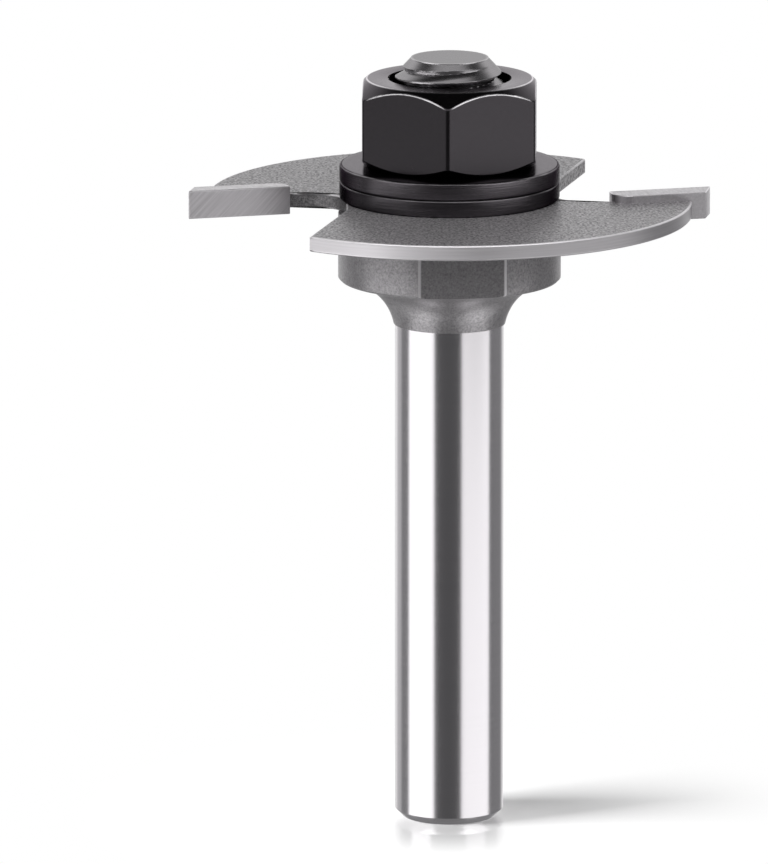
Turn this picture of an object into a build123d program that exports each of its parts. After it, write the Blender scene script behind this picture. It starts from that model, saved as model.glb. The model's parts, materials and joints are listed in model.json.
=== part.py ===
"""T-slot router bit: a two-wing slotting cutter clamped on a threaded arbor.

Millimetres. +Z points up along the arbor, from the shank to the nut, and the origin is the
centre of the shank's bottom face. Seen from the nut, the cutter turns anticlockwise, so the
tip at the right of the axis moves away from the viewer and cuts with its far face.
"""

import os
from math import cos, radians, sin, tan

from build123d import *

os.makedirs("parts", exist_ok=True)

# Shank, neck and flange of the arbor
shank_radius = 6.0
shank_length = 55.7
shank_end_chamfer = 0.9
neck_step = 0.16
neck_height = 5.0
neck_arc_radius = 6.2
flange_radius = 12.25
flange_thickness = 7.4
flange_flat_depth = 0.95
flange_flat_turn = 7.0
flange_edge_chamfer = 0.25

# Stud above the flange: a plain pilot, then the thread, which is a cylinder of its pitch diameter,
# and a tapered end, whose angle is taken from the axis
pilot_radius = 6.0
thread_pitch = 1.75
pitch_line_depth = 0.3248
stud_protrusion = 2.3
stud_end_radius = 4.2
stud_end_angle = 38.0

# Slotting disc: its rim stays this far inside the circle that the tips cut
disc_thickness = 1.65
bore_clearance = 0.03
cutting_radius = 28.7
rim_heel_relief = 2.1
rim_middle_relief = 1.2
rim_tail_relief = 1.8
wing_tail_angle = 127.4
gullet_depth = 17.4
gullet_wall_offset = 3.0
gullet_radius = 4.4
hub_corner_offset = 7.2
hub_corner_radius = 5.0
disc_edge_break = 0.12

# Carbide tips, brazed a little above the middle of the disc
tip_length = 11.5
tip_thickness = 2.8
tip_height = 3.1
tip_lift = 0.2
tip_corner_radius = 1.9
tip_setback = 1.2
tip_angle = 2.9
hook_angle = 11.4
radial_clearance = 13.0
side_clearance = 2.0
heel_lag = 4.0

# Washers, which lie this far inside the flange's edge, and the nut. The nut's bevels are drawn on
# past its corners by a share, to cut them clean
washer_inset = 0.15
washer_thickness = 1.9
washer_bore_clearance = 0.3
washer_edge_break = 0.25
nut_across_flats = 19.0
nut_height = 9.55
nut_face_radius = 9.1
nut_upper_bevel = 1.7
nut_lower_bevel = 1.3
nut_countersink_radius = 6.7
nut_turn = -1.3
past_corner = 1.5

# Pitch radius of the metric thread, which lies 0.3248 of its pitch below the crest
thread_pitch_radius = pilot_radius - pitch_line_depth * thread_pitch

# Heights of the seats, from the floor up
flange_bottom = shank_length + neck_height
flange_top = flange_bottom + flange_thickness
disc_top = flange_top + disc_thickness
disc_middle = (flange_top + disc_top) / 2
lower_washer_top = disc_top + washer_thickness
nut_bottom = lower_washer_top + washer_thickness
nut_top = nut_bottom + nut_height
stud_top = nut_top + stud_protrusion
pilot_top = nut_bottom - washer_thickness / 2


def polar(radius, angle):
    """Point at a radius and an angle in degrees from +X."""
    return (radius * cos(radians(angle)), radius * sin(radians(angle)))


# Arbor: one turned piece, with two wrench flats milled on its flange
with BuildPart() as arbor:
    with BuildSketch(Plane.XZ):
        with BuildLine():
            stud_taper_height = (thread_pitch_radius - stud_end_radius) / tan(radians(stud_end_angle))
            neck_foot = (shank_radius + neck_step, shank_length)
            flange_rim = (flange_radius - flange_edge_chamfer, flange_bottom)
            Polyline(
                neck_foot,
                (shank_radius, shank_length),
                (shank_radius, shank_end_chamfer),
                (shank_radius - shank_end_chamfer, 0),
                (0, 0),
                (0, stud_top),
                (stud_end_radius, stud_top),
                (thread_pitch_radius, stud_top - stud_taper_height),
                (thread_pitch_radius, pilot_top),
                (pilot_radius, pilot_top - (pilot_radius - thread_pitch_radius)),
                (pilot_radius, flange_top),
                (flange_radius, flange_top),
                (flange_radius, flange_bottom + flange_edge_chamfer),
                flange_rim,
            )
            RadiusArc(neck_foot, flange_rim, neck_arc_radius)
        make_face()
    revolve(axis=Axis.Z)
    flat_centre = flange_radius - flange_flat_depth / 2
    with BuildSketch(Plane.XY.offset(flange_top)):
        with PolarLocations(flat_centre, 2, start_angle=flange_flat_turn - 90):
            Rectangle(flange_flat_depth, 2 * flange_radius)
    extrude(amount=-flange_thickness, mode=Mode.SUBTRACT)
arbor.part.label = "arbor"
export_step(arbor.part, "parts/arbor.step")


# Outline of a carbide tip seen from above. Its origin is the cutting corner, X runs inwards along
# the rake face and Y runs back from it. The outer end leans in by the hook and the clearance.
with BuildSketch() as tip_outline:
    with BuildLine():
        Polyline(
            (0, 0),
            (tip_length, 0),
            (tip_length, tip_thickness),
            (tip_thickness * tan(radians(hook_angle + radial_clearance)), tip_thickness),
            close=True,
        )
    make_face()
    inner_back_corner = tip_outline.vertices().group_by(Axis.Y)[-1].sort_by(Axis.X)[-1]
    fillet(inner_back_corner, min(tip_corner_radius, 0.9 * tip_thickness))


def tip_plane(angle, height, lean=0):
    """Plane of a tip's outline at its cutting corner, with X along the rake face, leant about X."""
    level = Plane(
        origin=(*polar(cutting_radius, angle), height),
        x_dir=(*polar(1, angle + 180 + hook_angle), 0),
        z_dir=(0, 0, 1),
    )
    return level.moved(Rotation(lean, 0, 0))


tip_angles = {"a": tip_angle + 180, "b": tip_angle}
tip_bottom = disc_middle + tip_lift - tip_height / 2
tip_top = disc_middle + tip_lift + tip_height / 2

# Carbide tips: each is widest at its cutting face, and its sides fall back from there
for letter, angle in tip_angles.items():
    with BuildPart() as carbide_tip:
        with BuildSketch(tip_plane(angle, tip_bottom)):
            add(tip_outline.sketch)
        extrude(amount=tip_height)
        split(bisect_by=tip_plane(angle, tip_top, -side_clearance), keep=Keep.BOTTOM)
        split(bisect_by=tip_plane(angle, tip_bottom, side_clearance), keep=Keep.TOP)
    carbide_tip.part.label = f"carbide_tip_{letter}"
    export_step(carbide_tip.part, f"parts/carbide_tip_{letter}.step")


# Half of the disc's outline: from inside the seat of the tip at the left, along the wall and floor
# of its gullet, out along the tail of the next wing and round its rim to the seat at the right
with BuildLine() as half_outline:
    seat_plane = tip_plane(tip_angles["a"], 0)
    wall_start = seat_plane.from_local_coords((tip_length - tip_setback, tip_setback, 0))
    wing_tail = Vector(*polar(cutting_radius - rim_tail_relief, tip_angle - wing_tail_angle))
    wing_heel = Vector(*polar(cutting_radius - rim_heel_relief, tip_angle - heel_lag))
    wing_middle = polar(
        cutting_radius - rim_middle_relief, tip_angle - (wing_tail_angle + heel_lag) / 2
    )
    gullet_floor = gullet_depth - cutting_radius
    FilletPolyline(
        wall_start,
        (gullet_floor, gullet_wall_offset),
        (gullet_floor, -hub_corner_offset),
        wing_tail,
        radius=[gullet_radius, hub_corner_radius],
    )
    ThreePointArc(wing_tail, wing_middle, wing_heel)
    Line(wing_heel, wall_start.rotate(Axis.Z, 180))

# Slotting disc: two wings in one plate, with a gullet in front of each tip and a seat behind it
with BuildPart() as slotting_disc:
    with BuildSketch(Plane.XY.offset(flange_top)):
        with BuildLine():
            add(half_outline.line)
            add(half_outline.line.rotate(Axis.Z, 180))
        make_face()
        Circle(pilot_radius + bore_clearance, mode=Mode.SUBTRACT)
    extrude(amount=disc_thickness)
    chamfer(slotting_disc.edges().filter_by(Plane.XY), disc_edge_break)
    for angle in tip_angles.values():
        with BuildSketch(tip_plane(angle, flange_top)):
            add(tip_outline.sketch)
        extrude(amount=disc_thickness, mode=Mode.SUBTRACT)
slotting_disc.part.label = "slotting_disc"
export_step(slotting_disc.part, "parts/slotting_disc.step")


# Washers: two flat rings with broken edges, nearly as wide as the flange that they clamp against
washer_radius = flange_radius - washer_inset
for name, washer_bottom in {"lower_washer": disc_top, "upper_washer": lower_washer_top}.items():
    with BuildPart() as washer:
        with BuildSketch(Plane.XY.offset(washer_bottom)):
            Circle(washer_radius)
            Circle(pilot_radius + washer_bore_clearance, mode=Mode.SUBTRACT)
        extrude(amount=washer_thickness)
        rims = washer.edges().filter_by(GeomType.CIRCLE).group_by(SortBy.RADIUS)[-1]
        chamfer(rims, washer_edge_break)
    washer.part.label = name
    export_step(washer.part, f"parts/{name}.step")


# Nut: a hexagon whose corners are cut back by a cone at each end
with BuildPart() as hex_nut:
    with BuildSketch(Plane.XY.offset(nut_bottom)):
        RegularPolygon(nut_across_flats / 2, 6, major_radius=False, rotation=30 + nut_turn)
    extrude(amount=nut_height)
    with BuildSketch(Plane.XZ):
        with BuildLine():
            corner_radius = nut_across_flats / 2 / cos(radians(30))
            bevel_run = corner_radius - nut_face_radius
            Polyline(
                (0, nut_bottom),
                (nut_face_radius, nut_bottom),
                (nut_face_radius + past_corner * bevel_run, nut_bottom + past_corner * nut_lower_bevel),
                (nut_face_radius + past_corner * bevel_run, nut_top - past_corner * nut_upper_bevel),
                (nut_face_radius, nut_top),
                (0, nut_top),
                close=True,
            )
        make_face()
    revolve(axis=Axis.Z, mode=Mode.INTERSECT)
    with BuildSketch(Plane.XZ):
        with BuildLine():
            countersink_depth = nut_countersink_radius - thread_pitch_radius
            Polyline(
                (0, nut_bottom),
                (nut_countersink_radius, nut_bottom),
                (thread_pitch_radius, nut_bottom + countersink_depth),
                (thread_pitch_radius, nut_top - countersink_depth),
                (nut_countersink_radius, nut_top),
                (0, nut_top),
                close=True,
            )
        make_face()
    revolve(axis=Axis.Z, mode=Mode.SUBTRACT)
hex_nut.part.label = "hex_nut"
export_step(hex_nut.part, "parts/hex_nut.step")
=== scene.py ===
"""T-slot router bit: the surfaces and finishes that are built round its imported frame.

Metres. +Z points up along the arbor, from the shank to the nut, and the origin is the centre of
the shank's bottom face. Tip a is at the left as the camera sees it, and tip b at the right.
Plan outlines are arrays of complex numbers, X as the real part and Y as the imaginary part.
"""

import json
from math import cos, pi, radians, sin, sqrt, tan

import bpy
import numpy as np
from bpy.props import FloatProperty, FloatVectorProperty, PointerProperty
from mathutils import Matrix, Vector

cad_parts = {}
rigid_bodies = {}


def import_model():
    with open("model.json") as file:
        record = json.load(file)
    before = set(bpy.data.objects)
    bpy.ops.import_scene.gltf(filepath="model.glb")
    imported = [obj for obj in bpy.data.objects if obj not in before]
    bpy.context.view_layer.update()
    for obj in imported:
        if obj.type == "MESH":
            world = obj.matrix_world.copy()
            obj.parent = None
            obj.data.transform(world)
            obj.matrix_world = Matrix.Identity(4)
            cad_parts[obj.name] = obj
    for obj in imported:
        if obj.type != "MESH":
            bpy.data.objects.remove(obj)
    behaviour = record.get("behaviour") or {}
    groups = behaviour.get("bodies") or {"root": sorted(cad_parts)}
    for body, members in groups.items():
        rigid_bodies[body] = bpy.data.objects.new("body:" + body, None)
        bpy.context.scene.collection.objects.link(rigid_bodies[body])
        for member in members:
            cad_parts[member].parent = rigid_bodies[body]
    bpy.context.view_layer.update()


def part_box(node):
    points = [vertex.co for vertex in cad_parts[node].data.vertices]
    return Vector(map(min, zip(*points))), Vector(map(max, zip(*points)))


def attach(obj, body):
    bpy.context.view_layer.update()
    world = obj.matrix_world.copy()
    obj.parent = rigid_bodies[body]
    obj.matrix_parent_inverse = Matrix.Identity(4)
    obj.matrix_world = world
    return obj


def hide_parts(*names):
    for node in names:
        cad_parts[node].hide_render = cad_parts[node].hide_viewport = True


bl_info = {
    "name": "T-Slot Router Bit",
    "version": (1, 0, 0),
    "blender": (4, 5, 0),
    "location": "3D View > Sidebar > Router Bit",
    "description": "Builds the looks of a t-slot router bit round its packed frame",
    "category": "Object",
}

MM = 0.001
MICRON = 0.000001
WHITE = (1.0, 1.0, 1.0)

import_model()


def property_maker(kind, factor=None, **settings):
    """A function that makes properties of one kind. It multiplies their defaults by a factor."""

    def make(name, description, default):
        """A property whose default is given before it is multiplied."""
        default = default if factor is None else factor * default
        return kind(name=name, description=description, default=default, **settings)

    return make


metres = property_maker(FloatProperty, precision=5, unit="LENGTH")
mm = property_maker(FloatProperty, MM, precision=5, unit="LENGTH")
degrees = property_maker(FloatProperty, radians(1.0), subtype="ANGLE")
share = property_maker(FloatProperty, min=0.0, max=1.0)
colour = property_maker(FloatVectorProperty, min=0.0, max=1.0, subtype="COLOR")


class ArborSizes(bpy.types.PropertyGroup):
    """Sizes of the shank, the neck, the flange and the threaded stud."""

    shank_radius: mm("Shank radius", "Radius of the ground shank", 6.0)
    shank_length: mm("Shank length", "Height of the shank's top above its end", 55.7)
    end_chamfer: mm("End chamfer", "Chamfer at the shank's end", 0.9)
    neck_step: mm("Neck step", "How far the neck's foot stands out", 0.16)
    neck_height: mm("Neck height", "Height of the hollow neck under the flange", 5.0)
    neck_arc_radius: mm("Neck arc", "Radius of the neck's hollow", 6.2)
    flange_radius: metres("Flange radius", "Radius of the flange's round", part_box("arbor")[1].x)
    flange_top: metres("Flange top", "Height of its top face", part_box("slotting_disc")[0].z)
    flat_depth: mm("Flat depth", "Depth of the two wrench flats", 0.95)
    flat_turn: degrees("Flat turn", "Angle of the front flat's normal from +X", -83.0)
    edge_chamfer: mm("Edge chamfer", "Chamfer of the flange's lower rim", 0.25)
    pilot_radius: mm("Pilot radius", "Radius of the pilot and of the thread's crest", 6.0)
    pilot_top: mm("Pilot top", "Height at which the thread starts", 72.6)
    thread_pitch: mm("Thread pitch", "Rise of the thread in one turn", 1.75)
    thread_start: degrees("Thread start", "Turn at which the crest meets the stud's top", -84.0)
    stud_top: metres("Stud top", "Height of the stud's flat end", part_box("arbor")[1].z)
    stud_end_radius: mm("Stud end radius", "Radius of the stud's flat end", 4.2)
    stud_end_angle: degrees("Stud end angle", "Angle of the tapered end from the axis", 43.0)
    edge_break: mm("Edge break", "Rounding of the small edges", 0.06)


class DiscSizes(bpy.types.PropertyGroup):
    """Sizes of the two-wing disc."""

    low: metres("Underside", "Height of the disc's underside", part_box("slotting_disc")[0].z)
    high: metres("Top", "Height of the disc's top face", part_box("slotting_disc")[1].z)
    bore_radius: mm("Bore radius", "Radius of the bore on the pilot", 6.03)
    rim_heel_relief: mm("Heel relief", "Rim inside the cutting circle at the tip", 2.1)
    rim_middle_relief: mm("Middle relief", "Rim inside that circle halfway", 1.2)
    rim_tail_relief: mm("Tail relief", "Rim inside that circle at the tail", 1.8)
    wing_tail_angle: degrees("Wing angle", "Angle from a tip back to its wing's tail", 127.4)
    heel_lag: degrees("Heel lag", "Angle from a tip back to the rim's heel", 4.0)
    gullet_depth: mm("Gullet depth", "Depth of the gullet inside that circle", 17.4)
    gullet_wall_offset: mm("Gullet wall", "Where the wall meets the floor", 3.0)
    gullet_radius: mm("Gullet radius", "Rounding between wall and floor", 4.4)
    hub_corner_offset: mm("Hub corner", "Where the floor turns out to the tail", 7.2)
    hub_corner_radius: mm("Hub corner radius", "Rounding of that turn", 5.0)
    edge_break: mm("Edge break", "Chamfer of the disc's edges", 0.11)
    wear_and_highlight_width: mm("Wear width", "Width of the bright band beside an edge", 0.12)


class TipSizes(bpy.types.PropertyGroup):
    """Sizes of the carbide tips and their place on the cutting circle."""

    cutting_radius: mm("Cutting radius", "Radius of the circle that the tips cut", 28.7)
    angle: degrees("Tip angle", "Angle of tip b's cutting corner from +X", 2.9)
    hook: degrees("Hook", "Lean of the rake face from the radius", 11.4)
    length: mm("Length", "Length of a tip along its rake face", 11.5)
    thickness: mm("Thickness", "Thickness of a tip behind its rake face", 2.8)
    corner_radius: mm("Corner radius", "Rounding of the inner back corner", 1.9)
    setback: mm("Setback", "How far back the gullet's wall starts", 1.2)
    radial_clearance: degrees("Radial clearance", "Fall of the outer end behind the cut", 13.0)
    side_clearance: degrees("Side clearance", "Fall of each side behind the rake face", 2.0)
    low: metres("Underside", "Height of a tip's lowest edge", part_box("carbide_tip_a")[0].z)
    high: metres("Top", "Height of a tip's highest edge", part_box("carbide_tip_a")[1].z)
    edge_break: mm("Edge break", "Rounding of the ground edges", 0.06)


class NutSizes(bpy.types.PropertyGroup):
    """Sizes of the hexagon nut and the washers."""

    low: metres("Underside", "Height of the nut's lower face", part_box("hex_nut")[0].z)
    high: metres("Top", "Height of the nut's upper face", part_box("hex_nut")[1].z)
    across_flats: mm("Across flats", "Distance between two facets", 19.0)
    face_radius: mm("Face radius", "Radius of the flat ends inside their bevels", 9.1)
    upper_bevel: mm("Upper bevel", "Drop of the upper bevel at a corner", 1.7)
    lower_bevel: mm("Lower bevel", "Rise of the lower bevel at a corner", 1.3)
    corner_turn: degrees("Corner turn", "Angle of the front corner from +X", -91.3)
    corner_radius: mm("Corner radius", "Rounding of the upright corners", 0.85)
    countersink_radius: mm("Countersink radius", "Mouth of the threaded hole", 6.7)
    thread_clearance: mm("Thread clearance", "Play between the two threads", 0.03)
    edge_break: mm("Edge break", "Rounding of the facets' edges", 0.09)
    washer_radius: metres("Washer radius", "Radius of the washers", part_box("upper_washer")[1].x)
    washer_bore: mm("Washer bore", "Radius of the washers' hole", 6.3)
    washer_round: mm("Washer edge", "Rounding of the washers' outer edges", 0.28)


class Finishes(bpy.types.PropertyGroup):
    """Colours and gloss of the steels, the carbide and the black oxide."""

    ground: colour("Ground steel", "Colour of the ground shank", (0.63, 0.61, 0.63))
    blasted: colour("Blasted steel", "Colour of the grit-blasted steel", (0.46, 0.444, 0.46))
    blasted_dark: colour("Blasted pits", "Colour in the grit's pits", (0.18, 0.174, 0.18))
    rim: colour("Ground rim", "Colour of the disc's ground rim", (0.56, 0.543, 0.56))
    turned: colour("Turned steel", "Colour of the stud", (0.42, 0.406, 0.42))
    carbide: colour("Carbide", "Colour of the ground carbide", (0.6, 0.579, 0.6))
    oxide: colour("Black oxide", "Colour of the blackened steel", (0.05, 0.046, 0.05))
    # The colour of bare edges, which also paints the highlights along them
    worn_and_highlit: colour("Worn edge", "Colour where the finish has gone", (0.83, 0.81, 0.83))
    ground_roughness: share("Shank roughness", "Roughness of the ground shank", 0.2)
    blasted_roughness: share("Blasted roughness", "Roughness of the blasted steel", 0.4)
    oxide_roughness: share("Oxide roughness", "Roughness of the black oxide", 0.25)
    carbide_roughness: share("Carbide roughness", "Roughness of the ground carbide", 0.34)


class StudioSizes(bpy.types.PropertyGroup):
    """The camera, the soft boxes and the pale floor."""

    camera_distance: metres("Camera distance", "From the camera to the middle of the view", 1.4)
    camera_elevation: degrees("Camera elevation", "Height of the camera above the horizon", 12.2)
    view_height: mm("View height", "Height that the picture covers at the arbor", 95.3)
    view_offset: mm("View offset", "Where the camera looks along X", -7.2)
    view_middle: mm("View middle", "Height at the middle of the picture", 43.35)
    floor_radius: metres("Floor radius", "Radius of the round floor", 0.3)
    box_distance: metres("Box distance", "Distance of the upright soft boxes", 0.5)


def sizes(name):
    """The values that a property group holds for this scene."""
    return getattr(bpy.context.scene, "router_bit_" + name)


def grid_quads(rows, columns, closed=False):
    """Quads of a grid that runs round the axis. Each joins a point to the next in its row, then to
    the same two in the next row, so that faces point outwards where rows climb the outside."""
    row = np.arange(rows if closed else rows - 1)[:, None] * columns
    column = np.arange(columns)[None, :]
    after = (column + 1) % columns
    above = (row + columns) % (rows * columns)
    quads = np.stack([row + column, row + after, above + after, above + column], axis=-1)
    return quads.reshape(-1, 4)


def arc(centre, start, end, count):
    """Points of an arc: its centre plus the arm to its start, turned the short way by even steps
    of its swing."""
    swing = np.angle((end - centre) / (start - centre))
    return centre + (start - centre) * np.exp(1j * swing * np.linspace(0, 1, count))


def round_corner(before, corner, after, radius, count):
    """The arc of a radius that touches both sides of a corner. It starts and ends the radius over
    the tangent of half the corner's angle away from the corner."""
    back, on = (before - corner) / abs(before - corner), (after - corner) / abs(after - corner)
    half = abs(np.angle(on / back)) / 2
    centre = corner + (back + on) / abs(back + on) * radius / sin(half)
    away = radius / tan(half)
    return arc(centre, corner + back * away, corner + on * away, count)


def circle_through(a, b, c):
    """Centre of the circle through three points, where its perpendicular bisectors cross."""
    ratio = (c - a) / (b - a)
    return a + (b - a) * (ratio - abs(ratio) ** 2) / (2j * ratio.imag)


def meet_circle(point, heading, centre, radius, side):
    """Where a line meets a circle: the foot of the centre on it, less or plus half the chord."""
    arm = (centre - point) * np.conj(heading)
    return point + heading * (arm.real + side * sqrt(radius**2 - arm.imag**2))


def inset(loop, distance):
    """A closed outline moved inwards. Side i, from point i to the next, moves by distance[i], and
    each new point is where its two moved sides cross."""
    on = np.roll(loop, -1) - loop
    inward = 1j * on / np.abs(on)
    before, d_before = np.roll(inward, 1), np.roll(distance, 1)
    same = (before * np.conj(inward)).real
    equal = (before + inward) * distance / (1 + same)
    gap = np.maximum(1 - same**2, 1e-9)
    mixed = (before * (d_before - distance * same) + inward * (distance - d_before * same)) / gap
    return loop + np.where(np.abs(distance - d_before) < 1e-9, equal, mixed)


def at_height(loop, height):
    """The points of a plan outline at a height, or at one height for each point."""
    return np.stack([loop.real, loop.imag, np.broadcast_to(height, loop.shape)], axis=-1)


def spindle_faces(rows, columns):
    """The faces of a spindle: quads between its rows, and a flat cap at each end."""
    foot = list(range(columns))[::-1]
    head = list(range((rows - 1) * columns, rows * columns))
    return grid_quads(rows, columns).tolist() + [foot, head]


def new_object(name, data):
    """A new object at the origin, in the scene."""
    body = bpy.data.objects.new(name, data)
    bpy.context.scene.collection.objects.link(body)
    return body


def finish_made(name):
    """A finish that the first operator has made."""
    if name not in bpy.data.materials:
        raise RuntimeError(f"There is no finish {name} yet: run Finishes first")
    return bpy.data.materials[name]


def make_piece(name, points, faces, finishes, index, wear_and_highlight, node, crease=28.0):
    """A closed mesh with smooth faces that crease past an angle. index gives each face's finish,
    and the edge values for bare steel and painted highlights are kept on the points as an
    attribute."""
    mesh = bpy.data.meshes.new(name)
    mesh.from_pydata(points.tolist(), [], faces)
    for finish in finishes:
        mesh.materials.append(finish_made(finish))
    mesh.polygons.foreach_set("material_index", np.asarray(index, dtype=np.int32))
    mesh.polygons.foreach_set("use_smooth", np.ones(len(faces), dtype=bool))
    mesh.set_sharp_from_angle(angle=radians(crease))
    worn_and_highlit = mesh.attributes.new("edge_wear_and_highlight", "FLOAT", "POINT")
    worn_and_highlit.data.foreach_set("value", np.ravel(wear_and_highlight).astype(np.float32))
    mesh.validate()
    mesh.update()
    piece = new_object(name, mesh)
    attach(piece, "root")
    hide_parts(node)


def make_round(name, rows, angle, finishes, node, crease, closed=True):
    """A piece whose rows are carried round the axis: radius times cosine and sine of the angle,
    and height. A row is a radius, a height and an edge value for bare steel and painted highlight,
    each one number or one for each angle, and the finish of the band above it. The last row joins
    the first, or else each end has a cap."""
    all_round = np.ones_like(angle)
    radius, height, wear_and_highlight = (np.array([row[i] * all_round for row in rows]) for i in range(3))
    points = np.stack([radius * np.cos(angle), radius * np.sin(angle), height], axis=-1)
    bands = [row[3] for row in rows]
    if closed:
        faces = grid_quads(len(rows), len(angle), closed=True).tolist()
        index = np.repeat(bands, len(angle))
    else:
        faces = spindle_faces(len(rows), len(angle))
        index = np.concatenate([np.repeat(bands[:-1], len(angle)), [bands[0], bands[-1]]])
    make_piece(name, points.reshape(-1, 3), faces, finishes, index, wear_and_highlight, node, crease)


def feed(tree, node, inputs):
    """Feeds a node's inputs, each from a socket or with a value of its own."""
    for key, value in inputs.items():
        if isinstance(value, bpy.types.NodeSocket):
            tree.links.new(value, node.inputs[key])
        else:
            node.inputs[key].default_value = value


def add(tree, kind, inputs=None, **settings):
    """A new shader node with its settings, and what feeds its inputs."""
    node = tree.nodes.new("ShaderNode" + kind)
    for key, value in settings.items():
        setattr(node, key, value)
    feed(tree, node, inputs or {})
    return node


def maths(tree, operation, *values, clamp=False):
    """What a Math node makes of its values."""
    inputs = dict(enumerate(values))
    return add(tree, "Math", inputs, operation=operation, use_clamp=clamp).outputs[0]


def object_place(tree):
    """The place on a piece, in metres."""
    return add(tree, "TexCoord").outputs["Object"]


def camera_rays(tree):
    """1 for what the camera sees, and 0 for what lights or is mirrored."""
    return add(tree, "LightPath").outputs["Is Camera Ray"]


def noise(tree, place, scale, detail, rough=0.5):
    """Noise from 0 to 1, which is even about 0.5."""
    inputs = {"Vector": place, "Scale": scale, "Detail": detail, "Roughness": rough}
    return add(tree, "TexNoise", inputs).outputs[0]


def mix(tree, factor, low, high):
    """A colour that runs from low to high as the factor runs from 0 to 1."""
    node = add(tree, "Mix", {"Factor": factor}, data_type="RGBA")
    ends = [number for number, socket in enumerate(node.inputs) if socket.type == "RGBA"]
    feed(tree, node, dict(zip(ends, (low, high))))
    return next(socket for socket in node.outputs if socket.type == "RGBA")


def span(tree, mask, value):
    """A number as it is, or for a pair, one that runs from its first to its second by a mask."""
    if not isinstance(value, tuple):
        return value
    inputs = {"Value": mask, "To Min": value[0], "To Max": value[1]}
    return add(tree, "MapRange", inputs).outputs[0]


def rise(tree, value, low, high, start=0.0, end=1.0):
    """A number that goes smoothly from its start to its end as the value goes from low to high."""
    inputs = {"Value": value, "From Min": low, "From Max": high, "To Min": start, "To Max": end}
    return add(tree, "MapRange", inputs, interpolation_type="SMOOTHSTEP").outputs[0]


def new_effect(name, inputs, outputs):
    """An empty node group, the sockets that it is given, and its end node. inputs has the value
    that each input starts with, a number or a vector."""
    tree = bpy.data.node_groups.new(name, "ShaderNodeTree")
    for socket, value in inputs.items():
        kind = "NodeSocketFloat" if isinstance(value, float) else "NodeSocketVector"
        made = tree.interface.new_socket(name=socket, in_out="INPUT", socket_type=kind)
        made.default_value = value
    for socket in outputs:
        tree.interface.new_socket(name=socket, in_out="OUTPUT", socket_type="NodeSocketFloat")
    return tree, tree.nodes.new("NodeGroupInput").outputs, tree.nodes.new("NodeGroupOutput")


def toned(tree, height, middle, contrast):
    """A tone from 0 to 1: 0.5 plus the contrast times how far the height is from its middle."""
    off_middle = maths(tree, "SUBTRACT", height, middle)
    return maths(tree, "MULTIPLY_ADD", off_middle, contrast, 0.5, clamp=True)


def make_grain_effect():
    """Fine even grain: noise at the grain's size, plus a share of noise that is wider."""
    wider, weaker = 0.6, 0.5
    starts = {"Grains per Metre": 4000.0, "Contrast": 1.0}
    tree, given, end = new_effect("Fine Grain", starts, ["Tone", "Height"])
    place, grains = object_place(tree), given["Grains per Metre"]
    fine = noise(tree, place, grains, 1.5, 0.6)
    wide = noise(tree, place, maths(tree, "MULTIPLY", grains, wider), 2.0)
    height = maths(tree, "MULTIPLY_ADD", wide, weaker, fine)
    tone = toned(tree, height, 0.5 + weaker / 2, given["Contrast"])
    feed(tree, end, {"Tone": tone, "Height": height})


def make_lines_effect():
    """Grinding lines: noise on object coordinates that are turned twice, and then scaled along
    each axis, so that it is drawn out along the axis with the least scale."""
    none = (0.0, 0.0, 0.0)
    starts = {"Turn": none, "Lean": none, "Lines per Metre": none, "Contrast": 1.0}
    tree, given, end = new_effect("Grinding Lines", starts, ["Tone", "Height"])
    place = object_place(tree)
    for swing in ("Turn", "Lean"):
        place = add(tree, "Mapping", {"Vector": place, "Rotation": given[swing]}).outputs[0]
    drawn = add(tree, "VectorMath", {0: place, 1: given["Lines per Metre"]}, operation="MULTIPLY")
    height = noise(tree, drawn.outputs[0], 1.0, 3.0)
    feed(tree, end, {"Tone": toned(tree, height, 0.5, given["Contrast"]), "Height": height})


def make_wear_and_highlight_effect():
    """Bare edges and painted highlights: the piece's edge attribute, less noise times the breakup.
    """
    patches_per_metre = 900.0
    tree, given, end = new_effect("Edge Wear And Highlight", {"Breakup": 0.3}, ["Mask"])
    edge = add(tree, "Attribute", attribute_name="edge_wear_and_highlight").outputs["Fac"]
    patches = noise(tree, object_place(tree), patches_per_metre, 3.0)
    lost = maths(tree, "MULTIPLY", patches, given["Breakup"])
    feed(tree, end, {"Mask": maths(tree, "SUBTRACT", edge, lost, clamp=True)})


def place_effect(tree, effect, values):
    """What an effect puts out when it is placed in a material with its own values."""
    return add(tree, "Group", values, node_tree=bpy.data.node_groups[effect]).outputs


def grain(per_metre, contrast):
    """Marks of fine grain: grains to a metre, and their contrast."""
    return "Fine Grain", {"Grains per Metre": per_metre, "Contrast": contrast}


def lines(per_metre, contrast, **swings):
    """Marks of grinding lines: lines to a metre along each axis, their contrast and their turns."""
    return "Grinding Lines", {"Lines per Metre": per_metre, "Contrast": contrast, **swings}


def shaded(tint, factor=1.0):
    """A linear colour times a factor, with an alpha of 1."""
    return (*(min(1.0, factor * part) for part in tint), 1.0)


def tones(tint, low, high=1.0):
    """The darkest and the lightest tone of a colour, by their factors."""
    return shaded(tint, low), shaded(tint, high)


def around(middle, swing):
    """The numbers a swing below and above the middle, or above and below if it is negative."""
    return middle - swing, middle + swing


def new_finish(name):
    """The node tree of a new material, and its Principled shader."""
    finish = bpy.data.materials.new(name)
    finish.use_nodes = True
    return finish.node_tree, finish.node_tree.nodes["Principled BSDF"]


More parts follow.
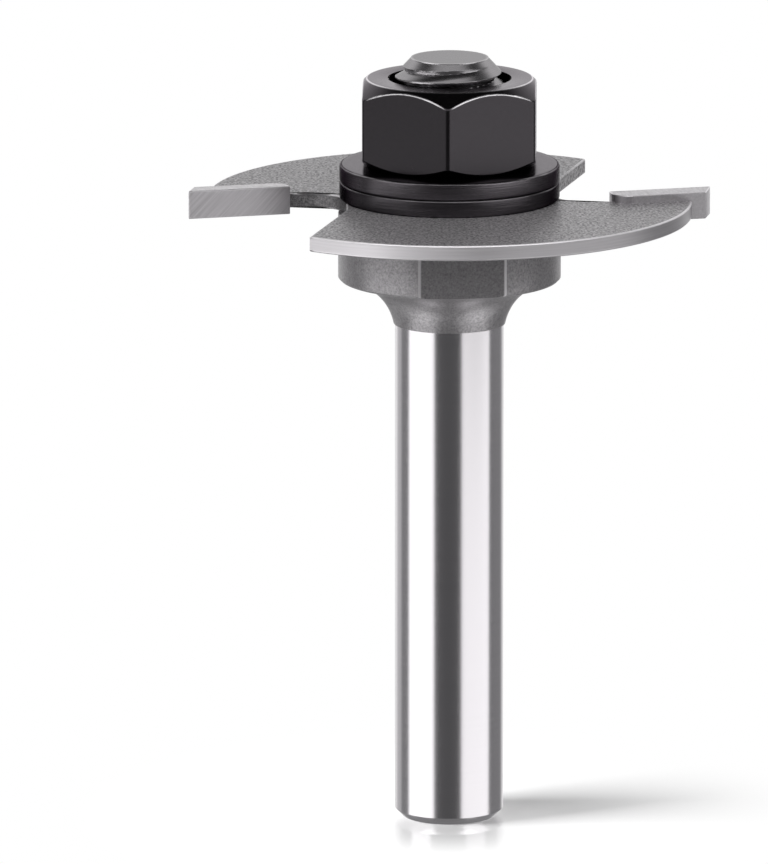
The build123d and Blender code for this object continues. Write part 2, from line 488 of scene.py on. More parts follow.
def make_finish(name, marks, ends, rough, depth, metal=1.0, breakup=None, glance=WHITE, bumps=None):
    """A finish whose colour runs between two ends and whose roughness runs between a pair by the
    tone of its marks. Its bumps have the height of the same marks, or of others, times a depth in
    microns. With a breakup, its marked edges show bare steel and a painted highlight, and metal may
    be a pair for the finish and for those edges. glance is the tint of what it mirrors at a low
    angle."""
    tree, shader = new_finish(name)
    pattern = place_effect(tree, *marks)
    body = mix(tree, pattern["Tone"], *ends)
    rough = span(tree, pattern["Tone"], rough)
    if breakup is not None:
        worn_and_highlit = place_effect(tree, "Edge Wear And Highlight", {"Breakup": breakup})["Mask"]
        body = mix(tree, worn_and_highlit, body, shaded(sizes("finishes").worn_and_highlit))
        metal = span(tree, worn_and_highlit, metal)
    if bumps is not None:
        pattern = place_effect(tree, *bumps)
    raised = add(tree, "Bump", {"Height": pattern["Height"], "Distance": depth * MICRON})
    inputs = {"Base Color": body, "Metallic": metal, "Roughness": rough}
    feed(tree, shader, {**inputs, "Specular Tint": shaded(glance), "Normal": raised.outputs[0]})


def make_finishes():
    """Every finish of the bit, from the shank up."""
    look, tips = sizes("finishes"), sizes("tips")
    # Bright ground steel, with fine rings round the shank
    marks, ends = lines((60.0, 60.0, 7000.0), 1.0), tones(look.ground, 0.96, 1.04)
    make_finish("Ground Shank", marks, ends, around(look.ground_roughness, 0.03), 0.4)
    # Grit-blasted steel: smoother on the neck and the flange than on the disc, and darker on the
    # gullets' walls, which is painted shade
    for name, marks, depth, rough, shade in (
        ("Blasted Steel", grain(4600.0, 1.2), 12.0, look.blasted_roughness - 0.06, 1.0),
        ("Blasted Disc", grain(3700.0, 6.0), 40.0, look.blasted_roughness, 1.0),
        ("Gullet Painted Shade", grain(6500.0, 2.5), 10.0, look.blasted_roughness, 0.42),
    ):
        ends, glance = (shaded(look.blasted_dark, shade), shaded(look.blasted, shade)), (0.7,) * 3
        make_finish(name, marks, ends, around(rough, -0.06), depth, (0.5, 0.3), 0.2, glance)
    # The disc's rim: ground steel, with fine lines along it
    marks, ends = lines((120.0, 120.0, 5200.0), 1.3), tones(look.rim, 0.8)
    make_finish("Ground Rim", marks, ends, (0.36, 0.46), 4.0, (1.0, 0.3), 0.25)
    # The stud: turned steel, with bright thread crests
    marks, ends = lines((150.0, 150.0, 9000.0), 1.4), tones(look.turned, 0.82)
    make_finish("Turned Steel", marks, ends, (0.24, 0.3), 2.0, 1.0, 0.2, glance=(0.62, 0.62, 0.62))
    # The tips: carbide with grinding lines that slant across the rake face, and unground backs
    slant = {"Turn": (0.0, 0.0, -(tips.hook + tips.angle)), "Lean": (0.0, radians(45.0), 0.0)}
    marks, ends = lines((180.0, 900.0, 5200.0), 1.7, **slant), tones(look.carbide, 0.74)
    make_finish("Ground Carbide", marks, ends, around(look.carbide_roughness, -0.05), 6.0, 1.0, 0.2)
    marks, ends = grain(5000.0, 1.6), tones(look.carbide, 0.6, 0.8)
    make_finish("Sintered Carbide", marks, ends, 0.5, 20.0, 0.8)
    # Black oxide on the nut and the washers, whose rims have fine turned rings. Each has a gloss
    # and shade, which scales its colour, and how much it mirrors at a low angle. The bore's dark,
    # dull copy is painted shade in the nut's hole
    rings = lines((50.0, 50.0, 22000.0), 1.0)
    for name, gloss_and_shade, edge, depth, bumps in (
        ("Black Oxide", 1.0, 0.97, 4.0, None),
        ("Bore Painted Shade", 0.25, 0.1, 4.0, None),
        ("Washer Face", 1.0, 0.8, 4.0, None),
        ("Upper Washer Rim", 2.1, 0.25, 25.0, rings),
        # The lower washer's rim is a darker copy of the upper's: painted shade
        ("Lower Washer Rim", 1.4, 0.25, 25.0, rings),
    ):
        marks, ends = grain(2600.0, 1.2), tones(look.oxide, 0.92 * gloss_and_shade, 1.08 * gloss_and_shade)
        rough, glance = around(look.oxide_roughness, 0.03), (edge, 0.97 * edge, edge)
        make_finish(name, marks, ends, rough, depth, 1.0, 0.35, glance, bumps)


def thread_radius(height, angle, arbor):
    """Radius of a 60-degree thread: the crest's radius less a depth. From the crest flat's edge the
    depth grows by the tangent of 60 degrees with height, down to the root flat. The crest line
    climbs one pitch in a turn."""
    pitch = arbor.thread_pitch
    turns = (height - arbor.stud_top) / pitch - (angle - arbor.thread_start) / (2 * pi)
    off_crest = np.abs(turns - np.round(turns)) * pitch
    depth = (off_crest - pitch / 16) * tan(radians(60.0))
    return arbor.pilot_radius - np.clip(depth, 0, 17 / 24 * pitch * cos(radians(30.0)))


def soft_least(a, b, blend):
    """The lesser of two arrays. Where they are closer than the blend, a parabola rounds the corner
    between them and stays below both."""
    part = np.clip(0.5 + (b - a) / (2 * blend), 0, 1)
    return b + (a - b) * part - blend * part * (1 - part)


def thread_heights(low, high, arbor, per_pitch=12):
    """Heights of a thread's rows, so many to a pitch, counted down from the stud's top."""
    step = arbor.thread_pitch / per_pitch
    first, last = np.ceil((arbor.stud_top - high) / step), np.floor((arbor.stud_top - low) / step)
    return arbor.stud_top - step * np.arange(last, first - 1, -1)


def even_columns(special, count=240, clear=radians(0.35)):
    """Angles round the axis: even ones, and special ones for the corners, with none too close."""
    even = np.linspace(-pi, pi, count, endpoint=False)
    special = (np.ravel(special) + pi) % (2 * pi) - pi
    apart = np.abs(np.angle(np.exp(1j * (even[:, None] - special[None, :])))).min(axis=1)
    return np.sort(np.concatenate([even[apart > clear], special]))


def build_arbor():
    """The arbor as one surface of revolution, radius and height over the angle and a row. The
    flange's radius is the lesser of its round's and of the flat's distance over the cosine of the
    angle from the flat's normal. The neck is a hollow arc that ends where it meets that radius."""
    s = sizes("arbor")
    edge = s.edge_break
    half = np.arccos(1 - s.flat_depth / s.flange_radius)
    beside = 0.1 * MM / s.flange_radius
    corner_break = 0.012 * MM
    normals = np.array([s.flat_turn, s.flat_turn + pi])
    corners = np.concatenate([normals - half, normals + half])
    angle = even_columns(corners[:, None] + beside * np.arange(-2, 3), 360)
    off_flat = np.abs(np.angle(np.exp(2j * (angle - s.flat_turn)))) / 2
    reach = np.minimum(s.flange_radius, (s.flange_radius - s.flat_depth) / np.cos(off_flat))
    broken = reach - corner_break * np.isclose(off_flat, half, atol=1e-6)
    # The flats' corner lines carry a painted highlight
    bright = 1.0 * np.isclose(off_flat, half, atol=1.5 * beside)

    neck_rows, least_chamfer = 24, 0.02 * MM
    neck_low, neck_high = s.shank_length, s.shank_length + s.neck_height
    foot = complex(s.shank_radius + s.neck_step, neck_low)
    rim = complex(s.flange_radius - s.edge_chamfer, neck_high)
    chord = rim - foot
    hollow = sqrt(s.neck_arc_radius**2 - abs(chord) ** 2 / 4)
    centre = (foot + rim) / 2 - 1j * chord / abs(chord) * hollow
    end = np.arccos((np.minimum(reach, rim.real) - centre.real) / s.neck_arc_radius)
    start = np.angle(foot - centre)
    swing = start + (end - start) * np.linspace(0, 1, neck_rows + 1)[1:, None]
    neck_radius = centre.real + s.neck_arc_radius * np.cos(swing)
    neck_height = centre.imag + s.neck_arc_radius * np.sin(swing)
    chamfer_top = np.maximum(neck_high + reach - rim.real, neck_height[-1] + least_chamfer)

    # The thread has coarse rows where the nut hides it. Its crests carry a painted highlight,
    # apart from where the stud's tapered end cuts them
    blend, crest_width, crest_fade = 0.2 * MM, 0.1 * MM, 0.15 * MM
    free_end = s.stud_top - 2 * s.thread_pitch
    hidden = thread_heights(s.pilot_top, free_end, s)
    shown = thread_heights(free_end, s.stud_top - edge, s, 36)
    upper = np.concatenate([hidden[:-1], shown])[:, None]
    cone = s.stud_end_radius + (s.stud_top - upper) * tan(s.stud_end_angle)
    thread = soft_least(thread_radius(upper, angle, s), cone, blend)
    below_crest, inside_cone = s.pilot_radius - thread, cone - s.pilot_radius
    crest = np.clip(1 - below_crest / crest_width, 0, 1) * np.clip(inside_cone / crest_fade, 0, 1)

    # Each row's radius, height, edge value for bare steel and painted highlight, and finish
    ground, blasted, turned = range(3)
    small = s.shank_radius - s.end_chamfer
    rows = [
        (small - edge, 0.0, 0.3, ground),
        (small + edge, edge, 0.3, ground),
        (s.shank_radius, s.end_chamfer, 0.0, ground),
        (s.shank_radius, s.end_chamfer + 3 * edge, 0.0, ground),
        (s.shank_radius, neck_low - edge, 0.0, ground),
        (s.shank_radius, neck_low, 0.0, blasted),
        (foot.real - edge / 2, neck_low, 0.0, blasted),
        (foot.real, neck_low + edge / 2, 0.0, blasted),
    ]
    rows += [(radius, height, 0.0, blasted) for radius, height in zip(neck_radius, neck_height)]
    rows += [
        (broken, chamfer_top, bright, blasted),
        (broken, s.flange_top - 2 * edge, bright, blasted),
        (reach - edge, s.flange_top, 0.0, blasted),
        (s.pilot_radius + edge, s.flange_top, 0.0, turned),
        (s.pilot_radius, s.flange_top + edge, 0.0, turned),
        (s.pilot_radius, s.pilot_top - 0.1 * MM, 0.0, turned),
    ]
    rows += [(radius, z, 0.3 * worn_and_highlit, turned) for radius, z, worn_and_highlit in zip(thread, upper, crest)]
    rows += [
        (s.stud_end_radius + edge, s.stud_top - edge / 3, 1.0, turned),
        (s.stud_end_radius - edge / 2, s.stud_top, 0.6, turned),
        (s.stud_end_radius - 0.3 * MM, s.stud_top, 0.0, turned),
    ]
    finishes = ("Ground Shank", "Blasted Steel", "Turned Steel")
    make_round("arbor_body", rows, angle, finishes, "arbor", 28.0, closed=False)


def tip_frame(tips, which):
    """A tip's cutting corner and the heading of its rake face, inwards from that corner."""
    angle = tips.angle + (pi if which == "a" else 0.0)
    return tips.cutting_radius * np.exp(1j * angle), np.exp(1j * (angle + pi + tips.hook))


def build_tips():
    """The tips: a plan outline carried up between two faces that close in behind the rake face by
    the side clearance. Along the outline X runs inwards and Y backwards from the cutting corner."""
    s = sizes("tips")
    edge, slope = s.edge_break, tan(s.side_clearance)
    back = complex(s.thickness * tan(s.hook + s.radial_clearance), s.thickness)
    corners = [0j, complex(s.length, 0), complex(s.length, s.thickness), back]
    near, inner, outer = (
        round_corner(corners[i - 1], corners[i], corners[(i + 1) % 4], edge, 3) for i in (0, 1, 3)
    )
    large = round_corner(corners[1], corners[2], corners[3], s.corner_radius, 14)
    plan = np.concatenate([near, inner, large, outer])
    smaller, smallest = (inset(plan, np.full(len(plan), far)) for far in (edge, 2.5 * edge))
    # Edge values for bare carbide and painted highlight, brighter on the upper edges
    lower = [(smallest, 0.0, 0.0), (smaller, 0.0, 0.5), (plan, edge, 0.5), (plan, 2.5 * edge, 0.0)]
    upper = [(plan, 2.5 * edge, 0.0), (plan, edge, 1.0), (smaller, 0.0, 1.0), (smallest, 0.0, 0.0)]
    rows = [(loop, s.low + loop.imag * slope + off, worn_and_highlit) for loop, off, worn_and_highlit in lower]
    rows += [(loop, s.high - loop.imag * slope - off, worn_and_highlit) for loop, off, worn_and_highlit in upper]
    wear_and_highlight = [np.full(len(plan), worn_and_highlit) for loop, height, worn_and_highlit in rows]
    faces = spindle_faces(len(rows), len(plan))
    unground = np.arange(len(plan)) == len(plan) - len(outer) - 1
    index = np.concatenate([np.tile(unground, len(rows) - 1), [0, 0]])
    finishes = ("Ground Carbide", "Sintered Carbide")
    for which in "ab":
        corner, heading = tip_frame(s, which)
        points = np.concatenate([at_height(corner + loop * heading, z) for loop, z, worn_and_highlit in rows])
        node = f"carbide_tip_{which}"
        make_piece(f"tip_{which}", points, faces, finishes, index, wear_and_highlight, node)


def wing_plan():
    """Half of the disc's plan, from tip a's seat round to tip b's: the gullet's wall and floor, the
    hub's corner, the tail of the front wing, its rim, and tip b's seat. The other half is this one
    turned by 180 degrees. Also gives the kind of each side."""
    d, t = sizes("disc"), sizes("tips")
    corner, heading = tip_frame(t, "b")
    seat_centre = complex(t.length - t.corner_radius, t.thickness - t.corner_radius)
    seat_centre = corner + seat_centre * heading
    seat_start = corner + complex(t.length - t.corner_radius, t.thickness) * heading
    wall = corner + complex(t.length - t.setback, t.setback) * heading
    floor = t.cutting_radius - d.gullet_depth
    root, hub = complex(floor, -d.gullet_wall_offset), complex(floor, d.hub_corner_offset)
    wall_end = meet_circle(wall, (root - wall) / abs(root - wall), seat_centre, t.corner_radius, 1)

    def on_rim(relief, lag):
        """A point that lies a relief inside the cutting circle and an angle back from tip b."""
        return (t.cutting_radius - relief) * np.exp(1j * (t.angle - lag))

    tail, heel = on_rim(d.rim_tail_relief, d.wing_tail_angle), on_rim(d.rim_heel_relief, d.heel_lag)
    middle = on_rim(d.rim_middle_relief, (d.wing_tail_angle + d.heel_lag) / 2)
    rim_centre = circle_through(tail, middle, heel)
    rim_radius = abs(tail - rim_centre)
    rim_end = meet_circle(corner + 1j * t.thickness * heading, heading, rim_centre, rim_radius, -1)
    sides = [
        (np.array([-wall_end]), "wall"),
        (round_corner(-wall_end, -root, -hub, d.gullet_radius, 16), "wall"),
        (round_corner(-root, -hub, tail, d.hub_corner_radius, 8), "hub"),
        (arc(rim_centre, tail, rim_end, 90)[:-1], "rim"),
        (np.array([rim_end]), "seat"),
        (arc(seat_centre, seat_start, wall_end, 10)[:-1], "seat"),
    ]
    plan = np.concatenate([points for points, kind in sides])
    kinds = np.concatenate([np.repeat(kind, len(points)) for points, kind in sides])
    return plan, kinds


def build_disc():
    """The disc: its plan carried up through eight loops, with a chamfer at each edge and a bore.
    Each flat face is two polygons, which meet along a line at each side of the bore."""
    d = sizes("disc")
    half_plan, half_kinds = wing_plan()
    plan, kinds = np.concatenate([half_plan, -half_plan]), np.tile(half_kinds, 2)
    count, half = len(plan), len(half_plan)
    seat = kinds == "seat"
    edge, band = d.edge_break, d.wear_and_highlight_width
    smaller = inset(plan, np.where(seat, 0.0, edge))
    smallest = inset(plan, np.where(seat, band, edge + band))

    # Each loop, its height and its edge value for bare steel and painted highlight, brighter on the
    # upper edges. The upright sides lie between the third and the sixth
    rows = [
        (smallest, d.low, 0.0),
        (smaller, d.low, 0.4),
        (plan, d.low + edge, 0.4),
        (plan, d.low + edge + band, 0.0),
        (plan, d.high - edge - band, 0.0),
        (plan, d.high - edge, 1.0),
        (smaller, d.high, 1.0),
        (smallest, d.high, 0.0),
    ]
    row = np.arange(len(rows) - 1)[:, None]
    upright = (row >= 2) & (row <= 4)
    highlit_wear_side = ~(seat | np.roll(seat, 1)) & (kinds != "hub")
    blasted, rim, shaded_gullet = range(3)
    # The gullets' walls take a darker copy of the disc's finish: painted shade
    at_wall = np.where((kinds == "wall") & upright, shaded_gullet, blasted)
    side_index = np.where(kinds == "rim", rim, at_wall).ravel()

    bore_count = 96
    round_bore = np.angle(plan[0]) + np.linspace(0, 2 * pi, bore_count, endpoint=False)
    bore = d.bore_radius * np.exp(1j * round_bore)
    bore_low = len(rows) * count
    bore_high = bore_low + bore_count
    rows += [(bore, d.low, 0.0), (bore, d.high, 0.0)]
    points = np.concatenate([at_height(outline, z) for outline, z, worn_and_highlit in rows])
    wear_and_highlight = [worn_and_highlit * highlit_wear_side for outline, z, worn_and_highlit in rows[:-2]] + [np.zeros(2 * bore_count)]
    inner = grid_quads(2, bore_count)[:, ::-1] + bore_low

    top = bore_low - count
    halves = (
        (np.arange(half + 1), np.arange(bore_count // 2, -1, -1)),
        (np.arange(half, count + 1) % count, np.arange(bore_count, bore_count // 2 - 1, -1)),
    )
    caps = []
    for outline, bore_back in halves:
        bore_back = bore_back % bore_count
        caps.append(np.concatenate([top + outline, bore_high + bore_back]).tolist())
        caps.append(np.concatenate([outline, bore_low + bore_back])[::-1].tolist())
    faces = grid_quads(len(rows) - 2, count).tolist() + inner.tolist() + caps
    index = np.concatenate([side_index, np.full(len(inner) + len(caps), blasted)])
    finishes = ("Blasted Disc", "Ground Rim", "Gullet Painted Shade")
    wear_and_highlight = np.concatenate(wear_and_highlight)
    node, slot = "slotting_disc", "blasted_steel"
    make_piece("disc_body", points, faces, finishes, index, wear_and_highlight, node, crease=50.0)


def build_washers():
    """The washers: a closed section carried round the axis, with quarter-round outer edges. The
    edge value for bare steel and painted highlight is a bell over the section's rows, highest on
    the upper edge."""
    s = sizes("nut")
    edge = s.washer_round
    angle = np.linspace(-pi, pi, 240, endpoint=False)
    swing = np.linspace(-pi / 2, 0, 6)
    outer = s.washer_radius - edge + edge * np.cos(swing)
    climb = edge + edge * np.sin(swing)
    flat = [s.washer_bore, s.washer_radius - 3 * edge]
    radius = np.concatenate([flat, outer, outer[::-1], flat[::-1]])
    most_highlit_row, rows_about = 11, 1.5
    worn_and_highlit = 0.5 * np.exp(-(((np.arange(len(radius)) - most_highlit_row) / rows_about) ** 2))
    on_rim = radius + np.roll(radius, -1) > 2 * (s.washer_radius - edge)
    for name, rim in (("lower_washer", "Lower Washer Rim"), ("upper_washer", "Upper Washer Rim")):
        low, high = (corner.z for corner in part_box(name))
        height = np.concatenate([[low, low], low + climb, high - climb[::-1], [high, high]])
        rows, finishes = list(zip(radius, height, worn_and_highlit, on_rim)), ("Washer Face", rim)
        make_round(f"{name}_ring", rows, angle, finishes, name, 40.0)


def build_nut():
    """The nut: a closed section carried round the axis. A facet's distance is half the size across
    flats over the cosine of the angle from its normal, rounded near the corners, and each bevel
    falls in proportion to the distance past the end face. The hole follows the stud's thread."""
    s, arbor = sizes("nut"), sizes("arbor")
    edge, apothem = s.edge_break, s.across_flats / 2
    beside = np.array([0.3, 0.75, 1.3, 1.9, 2.6]) * radians(1.0)
    corners = s.corner_turn + np.arange(6) * pi / 3
    angle = even_columns(corners[:, None] + np.concatenate([-beside, beside]))
    off_corner = (angle - s.corner_turn + pi / 6) % (pi / 3) - pi / 6
    facet = apothem / np.cos(pi / 6 - np.abs(off_corner))
    arm = (apothem - s.corner_radius) / cos(pi / 6)
    side = np.clip(s.corner_radius**2 - (arm * np.sin(off_corner)) ** 2, 0, None)
    touch = np.arctan2(s.corner_radius * sin(pi / 6), arm + s.corner_radius * cos(pi / 6))
    rounded = arm * np.cos(off_corner) + np.sqrt(side)
    facet = np.where(np.abs(off_corner) < touch, rounded, facet)

    run = apothem / cos(pi / 6) - s.face_radius
    upper_slope, lower_slope = s.upper_bevel / run, s.lower_bevel / run
    cone_high = s.high - (facet - s.face_radius) * upper_slope
    cone_low = s.low + (facet - s.face_radius) * lower_slope
    heights = thread_heights(s.low, s.high, arbor)[::-1, None]
    flare = s.countersink_radius - np.minimum(heights - s.low, s.high - heights)
    mouth = np.maximum(thread_radius(heights, angle, arbor) + s.thread_clearance, flare)

    # Painted highlights: the bright arcs over the facets, which fade towards the corners, and the
    # ring round the top face
    corner_fade = radians(3.5)
    arcs = 1 - 0.9 * np.exp(-((off_corner / corner_fade) ** 2))
    rows = [
        (s.countersink_radius, s.low, 0.0),
        (s.face_radius - edge, s.low, 0.0),
        (s.face_radius + edge, s.low + edge * lower_slope, 0.0),
        (facet - edge, cone_low - edge * lower_slope, 0.0),
        (facet - 0.3 * edge, cone_low + 0.35 * edge, 0.0),
        (facet, cone_low + edge, 0.0),
        (facet, cone_high - 2.2 * edge, 0.0),
        (facet, cone_high - edge, 0.4 * arcs),
        (facet - 0.3 * edge, cone_high - 0.35 * edge, 0.85 * arcs),
        (facet - edge, cone_high + edge * upper_slope, 0.4 * arcs),
        (facet - 2.2 * edge, cone_high + 2.2 * edge * upper_slope, 0.0),
        (s.face_radius + 1.5 * edge, s.high - 1.5 * edge * upper_slope, 0.0),
        (s.face_radius + 0.5 * edge, s.high - 0.5 * edge * upper_slope, 1.0),
        (s.face_radius - 0.5 * edge, s.high, 1.0),
        (s.face_radius - 1.5 * edge, s.high, 0.0),
        (s.countersink_radius + edge, s.high, 0.0),
    ]
    # The countersink and the threaded hole take a darker, duller finish: painted shade
    outside = len(rows) - 1
    rows += [(radius, height, 0.0) for radius, height in zip(mouth, heights)]
    rows = [(*row, number >= outside) for number, row in enumerate(rows)]
    finishes = ("Black Oxide", "Bore Painted Shade")
    make_round("nut_body", rows, angle, finishes, "hex_nut", 20.0)


# What each group of soft boxes lights
LIT = {
    "steel": ("arbor_body", "disc_body", "tip_a", "tip_b"),
    "arbor": ("arbor_body",),
    "plate": ("disc_body", "tip_a", "tip_b"),
    "blackened": ("lower_washer_ring", "upper_washer_ring", "nut_body"),
    "ground": ("floor",),
}

# Upright soft boxes: azimuth from the camera's side, width, lowest and highest edge, radiance,
# and the group that it lights
UPRIGHT_BOXES = (
    ("left_box", -63.7, 0.61, -1.5, 0.02, 1.7, "steel"),
    ("left_rear_box", -138.0, 0.28, -0.6, 0.0, 0.35, "arbor"),
    ("right_box", 59.6, 0.67, -1.5, -0.032, 1.4, "arbor"),
    ("right_plate_box", 57.0, 0.86, -0.6, -0.02, 0.95, "plate"),
    ("rim_box", -20.0, 0.5, -0.3, 0.1, 0.76, "plate"),
    ("left_dark_box", -63.6, 0.61, -0.6, 0.02, 0.72, "blackened"),
    ("right_dark_box", 60.0, 0.69, -0.6, 0.02, 1.4, "blackened"),
)

# Leaning soft boxes: azimuth, elevation, width, height, radiance, and the group that it lights.
# Those of the ground look at the shank's foot, and the others at the middle of the disc
LEANING_DISTANCE, FOOT, DISC_MIDDLE = 0.6, (0, 0, 0), (0, 0, 0.06)
LEANING_BOXES = (
    ("left_upper_box", -63.0, 22.0, 0.5, 0.36, 1.9, "blackened"),
    ("left_low_box", -63.0, 22.0, 0.5, 0.36, 0.6, "plate"),
    ("left_arbor_box", -63.0, 22.0, 0.5, 0.36, 1.7, "arbor"),
    ("right_upper_box", 60.0, 22.0, 0.5, 0.36, 2.4, "blackened"),
    ("right_low_box", 60.0, 22.0, 0.5, 0.36, 0.6, "plate"),
    ("right_arbor_box", 60.0, 22.0, 0.5, 0.36, 1.0, "arbor"),
    ("front_box", 0.0, 52.0, 1.0, 0.25, 1.3, "blackened"),
    ("plate_box", 0.0, 54.0, 1.1, 0.3, 3.7, "plate"),
    ("stud_box", 0.0, 70.0, 1.1, 0.3, 0.7, "arbor"),
    ("left_neck_box", -100.0, -60.0, 0.35, 0.3, 0.9, "arbor"),
    ("right_neck_box", 100.0, -60.0, 0.35, 0.3, 1.3, "arbor"),
    ("shadow_key", -75.0, 20.0, 0.3, 0.15, 50.0, "ground"),
    ("shadow_fill", -45.0, 20.0, 0.5, 0.15, 9.0, "ground"),
)


def stand(body, aim, distance, azimuth, elevation):
    """Stands a lamp or the camera at a distance from its aim, which it looks at. An azimuth of 0
    is the camera's side."""
    flat = cos(elevation)
    away = Vector((sin(azimuth) * flat, -cos(azimuth) * flat, sin(elevation)))
    body.location = Vector(aim) + distance * away
    body.rotation_euler = (-away).to_track_quat("-Z", "Y").to_euler()


def soft_box(name, place, width, height, radiance, lit):
    """A soft box that lights only one group. Its power is its radiance times pi times its area."""
    lamp = bpy.data.lights.new(name, "AREA")
    lamp.shape = "RECTANGLE"
    lamp.size, lamp.size_y = width, height
    lamp.energy = radiance * pi * width * height
    body = new_object(name, lamp)
    stand(body, *place)
    body.visible_camera = False
    body.light_linking.receiver_collection = bpy.data.collections[lit]


def build_lights(s):
    """The soft boxes, and the collections that they are kept to."""
    for name, members in LIT.items():
        collection = bpy.data.collections.new(name)
        for member in members:
            collection.objects.link(bpy.data.objects[member])
    for name, azimuth, width, low, high, radiance, lit in UPRIGHT_BOXES:
        place = ((0, 0, (low + high) / 2), s.box_distance, radians(azimuth), 0.0)
        soft_box(name, place, width, high - low, radiance, lit)
    for name, azimuth, elevation, width, height, radiance, lit in LEANING_BOXES:
        aim = FOOT if lit == "ground" else DISC_MIDDLE
        place = (aim, LEANING_DISTANCE, radians(azimuth), radians(elevation))
        soft_box(name, place, width, height, radiance, lit)


def build_world():
    """A white background for the camera. What the steel mirrors is dim at the camera's side,
    darker overhead, white behind the object and grey straight below."""
    world = bpy.data.worlds.new("Studio")
    world.use_nodes = True
    bpy.context.scene.world = world
    tree = world.node_tree
    toward = add(tree, "TexCoord").outputs["Generated"]
    part = add(tree, "SeparateXYZ", {0: toward}).outputs
    front, rear = shaded((0.1, 0.1, 0.102)), shaded((0.26, 0.26, 0.265))
    overhead, below = shaded((0.015, 0.015, 0.015)), shaded((0.22, 0.22, 0.222))
    behind = maths(tree, "MULTIPLY_ADD", part["Z"], 0.5, part["Y"])
    sides = mix(tree, rise(tree, part["Y"], -0.5, 0.5), front, rear)
    back = mix(tree, rise(tree, behind, 0.62, 0.82), sides, shaded(WHITE))
    roof = mix(tree, rise(tree, part["Z"], 0.5, 0.85), back, overhead)
    studio = mix(tree, rise(tree, part["Z"], -0.75, -0.95), roof, below)
    shown = mix(tree, camera_rays(tree), studio, shaded(WHITE))
    feed(tree, tree.nodes["Background"], {"Color": shown})


def build_floor(s):
    """A round white floor that keeps the object's shadow and mirrors its foot. It fades into the
    background well before its rim, and it is clear from below."""
    count, drop = 96, 0.02 * MM
    rim = s.floor_radius * np.exp(2j * pi * np.arange(count) / count)
    mesh = bpy.data.meshes.new("floor")
    mesh.from_pydata(at_height(rim, -drop).tolist(), [], [list(range(count))])
    floor = new_object("floor", mesh)
    floor.visible_glossy = False
    floor.visible_shadow = False
    tree, pale = new_finish("Pale Floor")
    mesh.materials.append(bpy.data.materials["Pale Floor"])
    inputs = {"Base Color": shaded((0.9, 0.9, 0.9)), "Roughness": 1.0, "Specular IOR Level": 0.0}
    feed(tree, pale, inputs)

    def either(factor, one, other):
        """One shader where the factor is 0, and the other where it is 1."""
        return add(tree, "MixShader", {0: factor, 1: one, 2: other}).outputs[0]

    def off(point):
        """How far the floor's place is from a point."""
        inputs = {0: object_place(tree), 1: point}
        return add(tree, "VectorMath", inputs, operation="DISTANCE").outputs["Value"]

    # The lit floor, which a little light of its own brightens for the camera
    camera_ray = camera_rays(tree)
    glow = add(tree, "Emission", {"Strength": maths(tree, "MULTIPLY", camera_ray, 0.22)})
    lit = add(tree, "AddShader", {0: pale.outputs[0], 1: glow.outputs[0]}).outputs[0]
    # A mirror that fades away from the shank's front, and the background's white further out
    mirror = add(tree, "BsdfGlossy", {"Roughness": 0.06}).outputs[0]
    near = either(rise(tree, off((0.0, -0.006, 0.0)), 0.0, 0.017, 0.55, 0.0), lit, mirror)
    plain = add(tree, "Emission", {"Strength": camera_ray}).outputs[0]
    both = either(rise(tree, off(FOOT), 0.012, 0.042), near, plain)
    underside = add(tree, "NewGeometry").outputs["Backfacing"]
    clear = add(tree, "BsdfTransparent").outputs[0]
    feed(tree, tree.nodes["Material Output"], {"Surface": either(underside, both, clear)})


def build_camera(s):
    """The camera: it looks along +Y and down, a little left of the arbor."""
    camera = bpy.data.cameras.new("camera")
    body = new_object("camera", camera)
    camera.lens = camera.sensor_width * s.camera_distance / s.view_height
    camera.clip_end = 10.0
    stand(body, (s.view_offset, 0, s.view_middle), s.camera_distance, 0.0, s.camera_elevation)
    bpy.context.scene.camera = body


class ROUTERBIT_OT_finishes(bpy.types.Operator):
    """Make the effects and the finishes that the pieces wear"""

    bl_idname = "router_bit.finishes"
    bl_label = "Finishes"

    def execute(self, context):
        make_grain_effect()
        make_lines_effect()
        make_wear_and_highlight_effect()
        make_finishes()
        return {"FINISHED"}


class ROUTERBIT_OT_arbor(bpy.types.Operator):
    """Build the arbor, with its shank, neck, flange and threaded stud"""

    bl_idname = "router_bit.arbor"
    bl_label = "Arbor"

    def execute(self, context):
        build_arbor()
        return {"FINISHED"}


class ROUTERBIT_OT_disc(bpy.types.Operator):
    """Build the two-wing slotting disc"""

    bl_idname = "router_bit.disc"
    bl_label = "Slotting Disc"

    def execute(self, context):
        build_disc()
        return {"FINISHED"}


class ROUTERBIT_OT_tips(bpy.types.Operator):
    """Build the two carbide tips"""

    bl_idname = "router_bit.tips"
    bl_label = "Carbide Tips"

    def execute(self, context):
        build_tips()
        return {"FINISHED"}


class ROUTERBIT_OT_washers(bpy.types.Operator):
    """Build the two washers"""

    bl_idname = "router_bit.washers"
    bl_label = "Washers"

    def execute(self, context):
        build_washers()
        return {"FINISHED"}


class ROUTERBIT_OT_nut(bpy.types.Operator):
    """Build the hexagon nut"""

    bl_idname = "router_bit.nut"
    bl_label = "Hexagon Nut"

    def execute(self, context):
        build_nut()
        return {"FINISHED"}


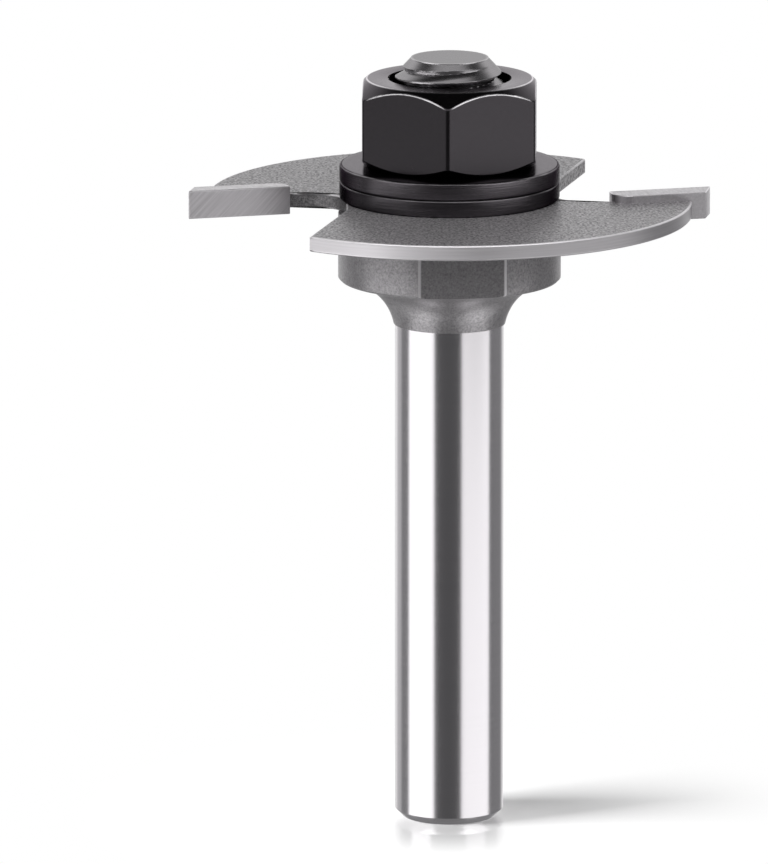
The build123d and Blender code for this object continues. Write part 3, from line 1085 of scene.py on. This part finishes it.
class ROUTERBIT_OT_stage(bpy.types.Operator):
    """Set the background, the floor, the camera and the soft boxes"""

    bl_idname = "router_bit.stage"
    bl_label = "Stage"

    def execute(self, context):
        s = sizes("studio")
        context.scene.view_settings.view_transform = "Standard"
        build_world()
        build_floor(s)
        build_camera(s)
        needed = {piece for members in LIT.values() for piece in members}
        missing = sorted(needed - set(bpy.data.objects.keys()))
        if missing:
            raise RuntimeError(f"The stage needs {', '.join(missing)}: build them first")
        build_lights(s)
        return {"FINISHED"}


class ROUTERBIT_PT_panel(bpy.types.Panel):
    """Lists the steps that build the router bit"""

    bl_idname = "ROUTERBIT_PT_panel"
    bl_label = "Router Bit"
    bl_space_type = "VIEW_3D"
    bl_region_type = "UI"
    bl_category = "Router Bit"

    def draw(self, context):
        for operator in OPERATORS:
            self.layout.operator(operator.bl_idname)


GROUPS = {
    "arbor": ArborSizes,
    "disc": DiscSizes,
    "tips": TipSizes,
    "nut": NutSizes,
    "finishes": Finishes,
    "studio": StudioSizes,
}
OPERATORS = (
    ROUTERBIT_OT_finishes,
    ROUTERBIT_OT_arbor,
    ROUTERBIT_OT_disc,
    ROUTERBIT_OT_tips,
    ROUTERBIT_OT_washers,
    ROUTERBIT_OT_nut,
    ROUTERBIT_OT_stage,
)


def register():
    """Adds the property groups, the operators and the panel to Blender."""
    for name, group in GROUPS.items():
        bpy.utils.register_class(group)
        setattr(bpy.types.Scene, "router_bit_" + name, PointerProperty(type=group))
    for operator in OPERATORS:
        bpy.utils.register_class(operator)
    bpy.utils.register_class(ROUTERBIT_PT_panel)


def unregister():
    """Takes the same classes out again."""
    bpy.utils.unregister_class(ROUTERBIT_PT_panel)
    for operator in reversed(OPERATORS):
        bpy.utils.unregister_class(operator)
    for name, group in GROUPS.items():
        delattr(bpy.types.Scene, "router_bit_" + name)
        bpy.utils.unregister_class(group)


def main():
    register()
    bpy.ops.router_bit.finishes()
    bpy.ops.router_bit.arbor()
    bpy.ops.router_bit.disc()
    bpy.ops.router_bit.tips()
    bpy.ops.router_bit.washers()
    bpy.ops.router_bit.nut()
    bpy.ops.router_bit.stage()


if __name__ == "__main__":
    main()
